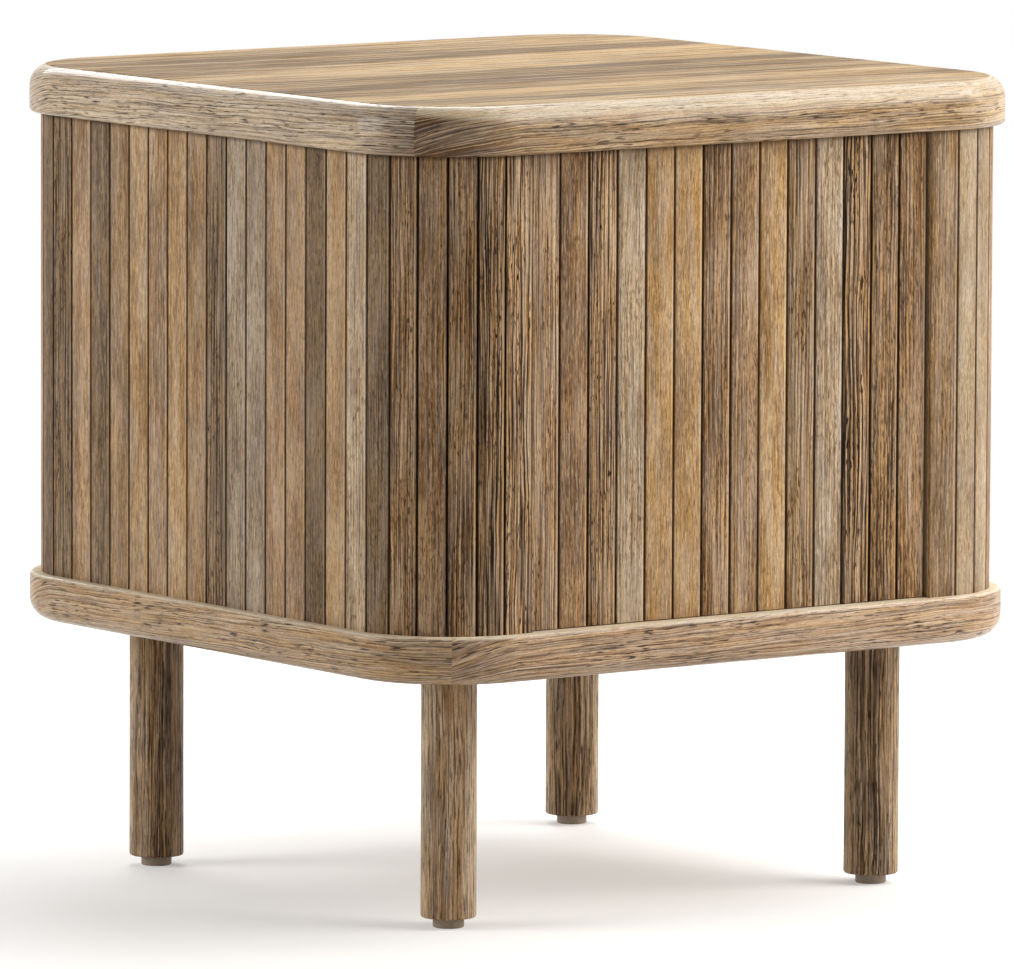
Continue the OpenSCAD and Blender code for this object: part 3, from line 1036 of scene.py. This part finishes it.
@dataclass
class Cladding:
    """Fixed slats: three rows, and the four corners with a stile at each end of the front."""

    cabinet: Cabinet
    finish: Finishes
    count: int = 16
    corner_count: int = 5
    front_lap: float = 0.0052
    side_lap: float = 0.007
    edge: float = 0.0009
    stile_edge: float = 0.0024
    # Painted edge shade of the stiles: how much wider it is at their start and their end
    stile_rims: tuple[Pair, Pair] = ((0.0, 0.0016), (-0.005, 0.0))
    made: int = 0

    def slat(
        self,
        bm: BMesh,
        span: Pair,
        board: Board,
        edges: Optional[Pair] = None,
        rims: Pair = (0.0, 0.0),
        lit_flank: bool = False,
    ) -> None:
        """Adds one slat.

        Args:
            bm: mesh of its row.
            span: where its pitch starts and ends on the outline.
            board: how it looks.
            edges: rounding of its outer edge at the start and at the end, where they differ.
            rims: how much wider painted shade darkens it along its start and its end than on other slats.
            lit_flank: True if its flank at the start shows; that flank takes a lighter tone as painted light,
                without painted edge shade.
        """
        sizes = self.cabinet
        outline = sizes.skin_outline
        first, last = span[0] + sizes.gap / 2, span[1] - sizes.gap / 2
        z = sizes.body_z - sizes.seat, sizes.top_z + sizes.seat
        part = outline.strip((first, last), (0.0, sizes.skin), z)
        ends = outline.point(first, 0), outline.point(last, 0)
        for end, radius in zip(ends, edges or (self.edge, self.edge)):

            def outer_corner(edge: Any) -> bool:
                """True for the upright edge at this end of the slat's face."""
                a, b = (v.co for v in edge.verts)
                return abs(a.z - b.z) > 0.1 and (Vector((a.x, a.y, 0)) - end).length < TINY

            soften(part, filter(outer_corner, part.edges), radius, 3 if radius < MM else 6)
        head = sizes.top_z - HEAD_DEPTH
        for level in (head, sizes.top_z):
            split(part, (0, 0, level), UP)
        middle = sum(span) / 2
        total = outline.starts[-1]

        def place(_face: Any, vert: Any) -> Pair:
            """Along the outline and into the slat for across, height for along."""
            at, inward = outline.locate(vert.co)
            at += total * round((middle - at) / total) - middle
            return at + math.copysign(inward, at) + (rims[1] - rims[0]) / 2, vert.co.z

        def flank(face: Any) -> bool:
            """True for the upright faces at the slat's start that look to the left."""
            apart = (face.calc_center_median() - ends[0]).xy.length
            return abs(face.normal.z) < 0.5 and face.normal.x < -0.3 and apart < 3 * MM

        lay_grain(part, place)
        seed = seed_of(self.made)
        paint(part, board.layers(seed, span[1] - span[0] - sizes.gap - sum(rims)))
        # Painted light: the stile's flank that shows takes a lighter tone and no painted edge shade
        if lit_flank:
            paint(part, Board(Tone.HONEY).layers(seed), filter(flank, part.faces))
        # Painted shade on the slat's head, under the top panel
        paint_head_shade(part, head)
        self.made += 1
        append(bm, part)

    def marks(self, side: int, lap: float) -> list[float]:
        """Where the pitches of a straight row start, and where the last one ends.

        Args:
            side: side of the outline, 0 for the front, then anticlockwise.
            lap: how far the row reaches past the straight stretch.

        Returns:
            Places on the outline.
        """
        outline = self.cabinet.skin_outline
        reach = outline.turn[side % 2] + lap
        return [outline.past_straight(side, reach * (2 * i / self.count - 1)) for i in range(self.count + 1)]

    def row(self, name: str, side: int, boards: list[Board], lap: float) -> None:
        """Builds a straight row.

        Args:
            name: its CAD node.
            side: side of the outline, 0 for the front, then anticlockwise.
            boards: its slats in the order of the outline.
            lap: how far the row reaches past the straight stretch.
        """
        marks = self.marks(side, lap)
        bm = bmesh.new()
        for i, board in enumerate(boards):
            self.slat(bm, (marks[i], marks[i + 1]), board)
        new_piece(f"{name}_wood", bm, [self.finish.slat], [name])

    def corner(
        self, name: str, side: int, boards: list[Board], stile: Optional[tuple[int, Board]] = None
    ) -> None:
        """Builds the slats round a corner.

        Args:
            name: its CAD node.
            side: side of the outline that ends at the corner.
            boards: its slats in the order of the outline.
            stile: number on the front row and look of the stile that goes with it.
        """
        outline = self.cabinet.skin_outline
        laps = (self.front_lap, self.side_lap)
        after = (side + 1) % 4
        begin = outline.past_straight(side, outline.turn[side % 2] + laps[side % 2])
        end = outline.past_straight(after, -outline.turn[after % 2] - laps[after % 2])
        if end < begin - HAIR:
            end += outline.starts[-1]
        bm = bmesh.new()
        step = (end - begin) / self.corner_count
        for i, board in enumerate(boards):
            self.slat(bm, (begin + i * step, begin + (i + 1) * step), board)
        if stile:
            number, board = stile
            marks = self.marks(0, self.front_lap)
            # The edge that the door slides past is well rounded
            left = number == 0
            edges = (self.edge, self.stile_edge) if left else (self.stile_edge, self.edge)
            rims = self.stile_rims[0 if left else 1]
            self.slat(bm, (marks[number], marks[number + 1]), board, edges, rims, lit_flank=not left)
        new_piece(f"{name}_wood", bm, [self.finish.slat], [name])

    def build(self) -> None:
        """Builds every fixed slat."""
        self.row("right_slats", 1, RIGHT_ROW, self.side_lap)
        self.row("back_slats", 2, BACK_ROW, self.front_lap)
        self.row("left_slats", 3, LEFT_ROW, self.side_lap)
        self.corner("corner_slats_front_right", 0, FRONT_RIGHT_CORNER, (self.count - 1, RIGHT_STILE))
        self.corner("corner_slats_back_right", 1, BACK_RIGHT_CORNER)
        self.corner("corner_slats_back_left", 2, BACK_LEFT_CORNER)
        self.corner("corner_slats_front_left", 3, FRONT_LEFT_CORNER, (0, LEFT_STILE))


@dataclass
class TambourDoor:
    """Door slats with their tongues, the canvas that they are glued to and the bar at the closing edge."""

    finish: Finishes
    lead: str = "door_lead"
    tongue: float = 0.004
    edge: float = 0.0009
    bar_edge: float = 0.0008
    cloth_step: float = 0.006
    cloth_rows: int = 40
    # Numbers of the slats on each stretch, from the left
    stretches: tuple[tuple[str, range], ...] = (
        ("tail", range(1, 6)),
        ("link_3", range(6, 7)),
        ("link_2", range(7, 8)),
        ("link_1", range(8, 9)),
        ("lead", range(9, 15)),
    )

    def _add_tongues(self, bm: BMesh, low: Vector, high: Vector) -> None:
        """Draws the middle of each end of a slat out into the track.

        Args:
            bm: the slat, without tongues.
            low: lowest corner of its box, with tongues.
            high: highest corner of that box.
        """
        middle = (low.y + high.y) / 2
        for side in (-1, 1):
            split(bm, (0, middle + side * self.tongue / 2, 0), (0, 1, 0))
        for sign, level in ((1, high.z), (-1, low.z)):
            end = [
                f
                for f in bm.faces
                if f.normal.z * sign > 0.9 and abs(f.calc_center_median().y - middle) < self.tongue / 4
            ]
            grown = bmesh.ops.extrude_face_region(bm, geom=end)
            bmesh.ops.delete(bm, geom=end, context="FACES_ONLY")
            for vert in grown["geom"]:
                if isinstance(vert, bmesh.types.BMVert):
                    vert.co.z = level
        bmesh.ops.recalc_face_normals(bm, faces=bm.faces)

    def slat(self, number: int, body: str) -> None:
        """Builds one door slat.

        Args:
            number: its number from the left.
            body: CAD body that it rides on.
        """
        node = f"tambour_slat_{number:02d}"
        low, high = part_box(node)
        foot, head = (corner.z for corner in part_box("tambour_slat_01"))
        bm = block(Vector((low.x, low.y, foot)), Vector((high.x, high.y, head)))
        if body == self.lead:
            self._add_tongues(bm, low, high)

        def face_corner(edge: Any) -> bool:
            """True for the upright edges of the outer face."""
            a, b = (v.co for v in edge.verts)
            front = max(abs(a.y - low.y), abs(b.y - low.y)) < TINY
            return front and abs(a.x - b.x) < TINY and min(abs(a.x - low.x), abs(a.x - high.x)) < TINY

        soften(bm, filter(face_corner, bm.edges), self.edge, 3)
        split(bm, (0, 0, head - HEAD_DEPTH), UP)
        centre = (low.x + high.x) / 2

        def place(_face: Any, vert: Any) -> Pair:
            """Across the slat and on round its edges, then height."""
            across = vert.co.x - centre
            return across + math.copysign(vert.co.y - low.y, across), vert.co.z

        lay_grain(bm, place)
        paint(bm, DOOR_ROW[number - 1].layers(seed_of(DOOR_SEEDS + number), high.x - low.x))
        # Painted shade on the slat's head, under the top panel
        paint_head_shade(bm, head - HEAD_DEPTH)
        new_piece(f"door_slat_{number:02d}_wood", bm, [self.finish.slat], [node], body)

    def cloth(self, node: str, body: str, slats: list[str]) -> None:
        """Builds one stretch of canvas.

        Args:
            node: its CAD node.
            body: CAD body that it rides on.
            slats: pieces that it is glued to; not used.
        """
        low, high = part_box(node)
        bm = bmesh.new()
        width, length = high.x - low.x, high.z - low.z
        centre = (low + high) / 2
        upright = Matrix.Rotation(math.pi / 2, 4, "X") @ Matrix.Diagonal((width, length, 1, 1))
        bmesh.ops.create_grid(
            bm,
            x_segments=max(2, round(width / self.cloth_step)),
            y_segments=self.cloth_rows,
            size=0.5,
            matrix=Matrix.Translation((centre.x, low.y, centre.z)) @ upright,
        )
        extrude(bm, bm.faces[:], (0, high.y - low.y, 0))
        lay_grain(bm, lambda _face, vert: (vert.co.x, vert.co.z))
        piece = new_piece(f"{node}_cloth", bm, [self.finish.canvas], [node], body)

    def build(self) -> None:
        """Builds the door."""
        for stretch, numbers in self.stretches:
            body = f"door_{stretch}"
            for number in numbers:
                self.slat(number, body)
            self.cloth(f"canvas_{stretch}", body, [f"door_slat_{number:02d}_wood" for number in numbers])
        bar = block(*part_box("lead_bar"))
        soften(bar, bar.edges[:], self.bar_edge, 2)
        new_piece("lead_bar_wood", bar, [self.finish.inner_z], ["lead_bar"], self.lead)


# Zone and place on the outline of each face of a lipping
Homes = dict[Any, tuple[int, float]]


@dataclass
class Panel:
    """Top or base panel: a lipped board with the grooves for the slats and the door's track.

    Its zones are four lippings, from the front one anticlockwise, and its upper and lower face. seams_at
    are the degrees round the corners before each lipping's side at which it starts. tones are the front
    and back lippings' and the sides'.
    """

    cabinet: Cabinet
    finish: Finishes
    node: str
    top: bool
    seams_at: tuple[float, float, float, float]
    tones: tuple[Tone, Tone]
    upper_zone: int = 8
    lower_zone: int = 9
    face_slope: float = 0.97
    round_edge: float = 0.014
    small_edge: float = 0.003
    # Faces on the large rounding, on the small one and on each corner
    round_faces: int = 12
    small_faces: int = 5
    corner_faces: int = 24
    track: Pair = (0.0053, 0.0103)
    groove: float = 0.005
    clear: float = 0.0001
    lipping_figure: Triple = (0.7, 3.2, 7.0)
    face_figure: Triple = (0.5, 13.0, 16.0)
    run_out: float = 0.02
    run_length: float = 0.05
    # Dark stain in the wood and painted shade along the near seam: how far they reach on the left and on the
    # front, and how strong they are
    stain_shade_reach: Pair = (0.03, 0.06)
    left_stain_shade: float = 0.6
    base_stain_shade: float = 0.33
    # Painted highlight on the upper rounding: its height at the seam and far from it, and how it grows and
    # fades
    highlight_rim: Pair = (0.006, 0.011)
    rim_growth: float = 0.05
    rim_fade: float = 0.002
    highlight_share: float = 0.85
    # Paler colour at the far end of the front and back lippings
    pale_end: float = 0.412
    end_fade: float = 0.1
    end_share: float = 0.55
    # Painted sheen along the front of the top's face
    front_sheen_reach: float = 0.075
    face_steps: int = 4
    sheen_share: float = 0.4
    sheen_fade: float = 0.6
    # Ledge of the base, painted pale as painted light
    ledge_width: float = 0.014
    ledge_rim: float = 0.0015
    ledge_share: float = 0.95

    def __post_init__(self) -> None:
        """Reads the panel's levels, and lays out its seams."""
        self.low, self.high = (corner.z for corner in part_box(self.node))
        self.outline = self.cabinet.panel_outline
        self.total = self.outline.starts[-1]
        starts = zip(self.outline.starts, self.seams_at)
        self.seams = [start + self.outline.arc * (angle / 90 - 1) for start, angle in starts]

    def build(self) -> None:
        """Builds the panel."""
        sizes = self.cabinet
        x, y = sizes.width / 2, sizes.depth / 2
        bm = block(Vector((-x, -y, self.low)), Vector((x, y, self.high)))
        upright = [e for e in bm.edges if abs(e.verts[0].co.z - e.verts[1].co.z) > 0.1 * MM]
        soften(bm, upright, sizes.corner, self.corner_faces)
        roundings = [(self.round_edge, self.round_faces), (self.small_edge, self.small_faces)]
        for level, rounding in zip((self.high, self.low), roundings if self.top else roundings[::-1]):
            soften(bm, rim_at(bm, level), *rounding)
        bm = self._cut(bm)
        if self.top:
            self._split_face(bm)
        zones, homes = self._zones(bm)
        self._paint(bm, zones, homes)
        self._stain_shade_and_highlight(bm, homes)
        if self.top:
            self._paint_front_sheen(bm, zones[self.upper_zone])
        else:
            self._paint_ledge_light(bm)
        both = [self.finish.lipping, self.finish.face]
        new_piece(f"{self.node}_wood", bm, both, [self.node])

    def _cut(self, bm: BMesh) -> BMesh:
        """Cuts the grooves into the inner face.

        Args:
            bm: the panel, which is freed.

        Returns:
            The cut panel.
        """
        skin = self.cabinet.skin_outline
        door_x = -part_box("tambour_slat_01")[0].x + self.cabinet.gap / 2
        left_end = -skin.arc - 2 * skin.turn[1]
        z = (self.low - MM, self.low + self.groove) if self.top else (self.high - self.groove, self.high + MM)
        front_left, front_right = (skin.past_straight(0, x) for x in (-door_x, door_x))
        seat = (-self.clear, self.cabinet.skin + self.clear)
        cutters = [
            skin.strip((left_end, front_right), self.track, z),
            skin.strip((front_right - skin.starts[-1], front_left), seat, z),
        ]
        blank = put(f"{self.node}_blank", to_mesh(self.node, bm))
        tools = [put(f"cutter_{i}", to_mesh(f"cutter_{i}", cutter)) for i, cutter in enumerate(cutters)]
        for tool in tools:
            cut = blank.modifiers.new("groove", "BOOLEAN")
            cut.operation = "DIFFERENCE"
            cut.solver = "EXACT"
            cut.object = tool
        bpy.context.view_layer.update()
        result = bmesh.new()
        result.from_object(blank, bpy.context.evaluated_depsgraph_get())
        for item in (blank, *tools):
            mesh = item.data
            bpy.data.objects.remove(item)
            bpy.data.meshes.remove(mesh)
        return result

    def _split_face(self, bm: BMesh) -> None:
        """Cuts the upper face along X, so that the painted sheen along its front can fade."""
        for step in range(1, self.face_steps + 1):
            upper = [f for f in bm.faces if f.normal.z > self.face_slope]
            near = {item for face in upper for item in (*face.edges, *face.verts)}
            front = self.outline.half_y - self.front_sheen_reach * step / self.face_steps
            split(bm, (0, -front, 0), (0, 1, 0), [*upper, *near])

    def _zones(self, bm: BMesh) -> tuple[dict[int, list[Any]], Homes]:
        """Shares the faces out among the lippings and the two flat faces.

        Args:
            bm: the panel.

        Returns:
            The faces of each zone, and the zone and place on the outline of each face of a lipping.
        """
        zones: dict[int, list[Any]] = {}
        homes: Homes = {}
        for face in bm.faces:
            at, inward = self.outline.locate(face.calc_center_median())
            if abs(face.normal.z) > self.face_slope or inward > self.round_edge:
                zone = self.upper_zone if face.normal.z > 0 else self.lower_zone
                face.material_index = 1
            else:
                lap = at - self.total if at > self.seams[0] + self.total else at
                zone = max((i for i in range(4) if self.seams[i] <= lap + HAIR), default=3)
                face.material_index = 0
                homes[face] = (zone, lap)
            zones.setdefault(zone, []).append(face)
        return zones, homes

    def _paint(self, bm: BMesh, zones: dict[int, list[Any]], homes: Homes) -> None:
        """Lays the grain and the tone of each zone.

        Args:
            bm: the panel.
            zones: faces of each zone.
            homes: zone and place of each face of a lipping.
        """

        def place(face: Any, vert: Any) -> Pair:
            """Across and along the grain."""
            if face not in homes:
                return vert.co.y, vert.co.x
            at, inward = self.outline.locate(vert.co)
            zone, lap = homes[face]
            at += self.total * round((lap - at) / self.total)
            rise = inward if vert.co.z > (self.low + self.high) / 2 else -inward
            # The grain runs out upwards past the seam that a lipping starts at
            run = self.run_out * (1 - math.exp((self.seams[zone] - at) / self.run_length))
            return vert.co.z + rise - run, at

        lay_grain(bm, place)
        for zone, faces in zones.items():
            number = zone + (0 if self.top else BASE_SEEDS)
            if zone < self.upper_zone:
                board, number = Board(self.tones[zone % 2], *self.lipping_figure), LIPPING_SEEDS + number
            else:
                board, number = Board(Tone.TOP, *self.face_figure), FACE_SEEDS + number
            paint(bm, board.layers(seed_of(number)), faces)

    def _stain_shade_and_highlight(self, bm: BMesh, homes: Homes) -> None:
        """Darkens the two near lippings at their seam, partly as a dark stain in the wood and partly as
        painted shade, paints a highlight on the upper rounding of the top's front and back lippings, and
        makes their far end paler.

        Args:
            bm: the panel, painted.
            homes: zone and place of each face of a lipping.
        """
        tone, vein = attributes(bm, TONE, VEIN)
        stain_and_shade, pale = (
            ((tone, rgb(colours.ground)), (vein, rgb(colours.vein)))
            for colours in (Tone.STAIN_AND_SHADE.value, Tone.PALE_CREAM.value)
        )
        for face, (zone, lap) in homes.items():
            for loop in face.loops:
                at, _ = self.outline.locate(loop.vert.co)
                at += self.total * round((lap - at) / self.total)
                past = at - self.seams[zone]
                share = 0.0
                if zone == 0:
                    share = math.exp(-((past / self.stain_shade_reach[1]) ** 4))
                elif zone == 3:
                    left = self.seams[0] + self.total - at
                    share = self.left_stain_shade * math.exp(-((left / self.stain_shade_reach[0]) ** 2))
                if not self.top:
                    share *= self.base_stain_shade
                for part, colour in stain_and_shade:
                    blend(loop, part, colour, share)
                # Painted highlight on the upper rounding of the top's front and back lippings, and their
                # paler far end
                if self.top and zone % 2 == 0:
                    first, last = self.highlight_rim
                    reach = last - (last - first) * math.exp(-max(past, 0.0) / self.rim_growth)
                    rim = between(0.0, (loop.vert.co.z - self.high + reach) / self.rim_fade, 1.0)
                    end = between(0.0, (past - self.pale_end) / self.end_fade, self.end_share)
                    for part, colour in pale:
                        blend(loop, part, colour, max(self.highlight_share * rim, end))

    def _paint_front_sheen(self, bm: BMesh, faces: list[Any]) -> None:
        """Paints a sheen on the upper face along its front."""
        (tone,), pale = attributes(bm, TONE), rgb(Tone.PALE_CREAM.value.ground)
        for loop in corners(faces):
            depth = (loop.vert.co.y + self.outline.half_y) / self.front_sheen_reach
            blend(loop, tone, pale, between(0.0, self.sheen_fade * (1 - depth), self.sheen_share))

    def _paint_ledge_light(self, bm: BMesh) -> None:
        """Paints light on the ledge, pale out to the middle of its rounding."""
        parts, bright = attributes(bm, TONE, VEIN, SHINE), rgb(Tone.PALE_CREAM.value.shine)
        for loop in corners(bm.faces):
            if self.outline.locate(loop.vert.co)[1] < self.ledge_width:
                rise = (loop.vert.co.z - self.high + self.ledge_rim) / self.ledge_rim
                for part in parts:
                    blend(loop, part, bright, between(0.0, 2 * rise, self.ledge_share))


@dataclass
class Legs:
    """Turned legs and the glides under them."""

    finish: Finishes
    leg_edge: float = 0.0015
    glide_edge: float = 0.001
    glide_sunk: float = 0.0005
    segments: int = 72
    # Each leg's board, and the tone of the painted light on its sides
    boards: tuple[tuple[str, Board, Tone], ...] = (
        ("front_left", Board(Tone.TAN, 0.7, 3.2, 9.0), Tone.PALE_CREAM),
        ("front_right", Board(Tone.LEG, 0.75, 3.2, 9.0), Tone.LEG_LIT_SIDE),
        ("back_left", Board(Tone.LEG, 0.6, 3.0, 9.0), Tone.LEG_LIT_SIDE),
        ("back_right", Board(Tone.LEG, 0.75, 3.6, 12.0), Tone.LEG_LIT_SIDE),
    )
    # Painted light: the legs' two sides along this direction are painted paler
    lit_side_axis: Pair = (0.81, -0.59)
    pale_fade: int = 3

    def rod(self, low: Vector, high: Vector, edge: float) -> BMesh:
        """An upright rod with a rounded lower rim.

        Args:
            low: lowest corner of its box.
            high: highest corner of its box.
            edge: rounding of its lower rim.

        Returns:
            A new bmesh.
        """
        bm = bmesh.new()
        radius = (high.x - low.x) / 2
        sizes = {"radius1": radius, "radius2": radius, "depth": high.z - low.z}
        middle = Matrix.Translation((low + high) / 2)
        bmesh.ops.create_cone(bm, cap_ends=True, segments=self.segments, matrix=middle, **sizes)
        soften(bm, rim_at(bm, low.z), edge, 4)
        return bm

    def pale(self, leg: BMesh, centre: Vector, side: Tone) -> None:
        """Paints light on a leg: paler on two opposite sides, as lamps at either side light them.

        Args:
            leg: the leg, painted.
            centre: its middle.
            side: tone of those sides.
        """
        (tone,), lighter, towards = attributes(leg, TONE), rgb(side.value.ground), Vector(self.lit_side_axis)
        for loop in corners(leg.faces):
            out = (loop.vert.co - centre).xy.normalized()
            blend(loop, tone, lighter, abs(out.dot(towards)) ** self.pale_fade)

    def build(self) -> None:
        """Builds the legs and glides."""
        for number, (corner, board, side) in enumerate(self.boards):
            low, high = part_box(f"leg_{corner}")
            leg = self.rod(low, high, self.leg_edge)
            paint(leg, board.layers(seed_of(LEG_SEEDS + number)))
            self.pale(leg, (low + high) / 2, side)
            new_piece(f"leg_{corner}_wood", leg, [self.finish.leg], [f"leg_{corner}"])
            node = f"glide_{corner}"
            foot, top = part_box(node)
            glide = self.rod(foot, Vector((top.x, top.y, low.z + self.glide_sunk)), self.glide_edge)
            new_piece(f"{node}_disc", glide, [self.finish.glide], [node])


@dataclass
class Inside:
    """Walls, back, jamb, shelf and fittings."""

    finish: Finishes
    edge: float = 0.0008
    jamb: Pair = (0.018, 0.010)

    def board(self, node: str, material: bpy.types.Material) -> None:
        """Builds one board with softened edges.

        Args:
            node: its CAD node.
            material: its finish.
        """
        bm = block(*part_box(node))
        soften(bm, bm.edges[:], self.edge, 2)
        new_piece(f"{node}_board", bm, [material], [node])

    def post(self) -> None:
        """Builds the stepped jamb that the door closes against."""
        low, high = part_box("door_jamb")
        step_x, step_y = low.x + self.jamb[0], low.y + self.jamb[1]
        front = [(low.x, low.y), (step_x, low.y), (step_x, step_y)]
        plan = [*front, (high.x, step_y), (high.x, high.y), (low.x, high.y)]
        bm = bmesh.new()
        foot = bm.faces.new([bm.verts.new((x, y, low.z)) for x, y in plan])
        extrude(bm, [foot], (0, 0, high.z - low.z))
        upright = [e for e in bm.edges if abs(e.verts[0].co.z - e.verts[1].co.z) > 0.1]
        soften(bm, upright, self.edge, 2)
        new_piece("door_jamb_post", bm, [self.finish.inner_z], ["door_jamb"])

    def build(self) -> None:
        """Builds the boards and dresses the fittings."""
        for node in ("left_wall", "right_wall", "back_board"):
            self.board(node, self.finish.inner_z)
        self.board("shelf", self.finish.inner_x)
        self.post()
        dressed = {
            self.finish.inner_z: ("left_backing", "right_backing", "back_backing", "wall_dowels"),
            self.finish.steel: ("shelf_pins", "leg_bolts"),
        }
        for material, nodes in dressed.items():
            for node in nodes:
                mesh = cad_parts[node].data
                mesh.materials.clear()
                mesh.materials.append(material)
                log.info("%s: dressed", node)


@dataclass(frozen=True)
class Lamp:
    """A soft box, which the camera doesn't see: its place, its width and height, power and colour."""

    name: str
    place: Triple
    size: Pair
    power: float
    colour: str = "#ffffff"


@dataclass
class Studio:
    """Camera, lamps, world and floor. The camera was fitted to the photograph."""

    place: Triple = (-4.370476, -6.002350, 1.105102)
    yaw: float = 0.628785
    pitch: float = 0.113958
    roll: float = 0.004024
    focal: float = 11489.49
    picture_width: int = 1014
    sensor: float = 36.0
    clip: Pair = (0.1, 200.0)
    ambient: float = 0.14
    floor_size: float = 80.0
    floor_colour: str = "#e6e6e6"
    floor_lift: float = 0.32
    # Beyond the lamps' reach the floor stays as white as it is near the table
    floor_fade: Pair = (0.7, 2.4)
    aim: Triple = (0, 0, 0.33)
    lamps: tuple[Lamp, ...] = (
        Lamp("left_box", (-2.29, 0.94, 1.15), (1.4, 1.8), 38.0, "#fffcf8"),
        Lamp("key_box", (1.65, -1.55, 1.45), (2.0, 2.0), 61.5, "#fffaf3"),
        Lamp("top_box", (1.4, -0.1, 2.44), (2.2, 1.8), 42.0),
        Lamp("back_box", (0.76, 2.17, 1.74), (2.0, 0.6), 24.0),
        Lamp("corner_box", (0.85, 1.43, 2.1), (1.0, 0.6), 14.0),
    )

    def camera(self) -> None:
        """Places the camera."""
        data = bpy.data.cameras.new("camera")
        data.sensor_width = self.sensor
        data.lens = self.focal / self.picture_width * self.sensor
        data.clip_start, data.clip_end = self.clip
        level = math.cos(self.pitch)
        ahead = Vector((math.sin(self.yaw) * level, math.cos(self.yaw) * level, -math.sin(self.pitch)))
        right = Vector((math.cos(self.yaw), -math.sin(self.yaw), 0))
        up = right.cross(ahead)
        tilt = (
            math.cos(self.roll) * right + math.sin(self.roll) * up,
            -math.sin(self.roll) * right + math.cos(self.roll) * up,
            -ahead,
        )
        camera = put("camera", data)
        camera.matrix_world = Matrix.Translation(self.place) @ Matrix(tilt).transposed().to_4x4()
        bpy.context.scene.camera = camera

    def lights(self) -> None:
        """Places the lamps."""
        for lamp in self.lamps:
            data = bpy.data.lights.new(lamp.name, "AREA")
            data.shape = "RECTANGLE"
            data.size, data.size_y = lamp.size
            data.energy = lamp.power
            data.color = linear(lamp.colour)[:3]
            box = put(lamp.name, data)
            box.location = lamp.place
            aim = Vector(self.aim) - Vector(lamp.place)
            box.rotation_euler = aim.to_track_quat("-Z", "Y").to_euler()
            box.visible_camera = False

    def world(self) -> None:
        """Sets a white background over a plain ambient light."""
        nodes = Nodes(bpy.data.worlds.new("studio"))
        level = nodes.out("MapRange", {"Value": nodes.seen(), "To Min": self.ambient, "To Max": 1.0})
        sky = nodes.out("Background", {"Color": linear("#ffffff"), "Strength": level})
        bpy.context.scene.world = nodes.end(sky, "OutputWorld")

    def floor(self) -> None:
        """Lays the pale floor, which keeps the table's shadow."""
        bm = bmesh.new()
        bmesh.ops.create_grid(bm, x_segments=1, y_segments=1, size=self.floor_size / 2)
        mesh = to_mesh("floor", bm)
        nodes = Nodes(bpy.data.materials.new("floor_painted_white"))
        paint_coat = nodes.out("BsdfDiffuse", {"Color": linear(self.floor_colour)})
        lift = nodes.out("Emission", {"Color": linear("#ffffff"), "Strength": self.floor_lift})
        near = nodes.out("AddShader", {0: paint_coat, 1: lift})
        reach = nodes.add("VectorMath", {0: nodes.place()}, operation="LENGTH").outputs["Value"]
        white = nodes.out("Emission", {"Color": linear("#ffffff"), "Strength": 1.0})
        both = nodes.out("MixShader", {0: nodes.ease(reach, *self.floor_fade), 1: near, 2: white})
        mesh.materials.append(nodes.end(nodes.out("MixShader", {0: nodes.seen(), 1: paint_coat, 2: both})))
        floor = put("floor", mesh)

    def build(self) -> None:
        """Sets up the whole studio."""
        bpy.context.scene.view_settings.view_transform = "Standard"
        self.camera()
        self.lights()
        self.world()
        self.floor()


def main() -> None:
    """Builds the dressed table and its studio."""
    logging.basicConfig(level=logging.INFO, format="%(name)s %(message)s")
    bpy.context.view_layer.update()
    Studio().build()
    cabinet = Cabinet()
    finish = Finishes()
    Panel(cabinet, finish, "top_panel", True, (37.5, 64.0, 37.5, 64.0), (Tone.PANEL, Tone.SIDE)).build()
    Panel(cabinet, finish, "base_panel", False, (55.0, 64.0, 37.5, 64.0), (Tone.BASE, Tone.PANEL)).build()
    Cladding(cabinet, finish).build()
    TambourDoor(finish).build()
    Inside(finish).build()
    Legs(finish).build()
    bpy.context.view_layer.update()


if __name__ == "__main__":
    main()
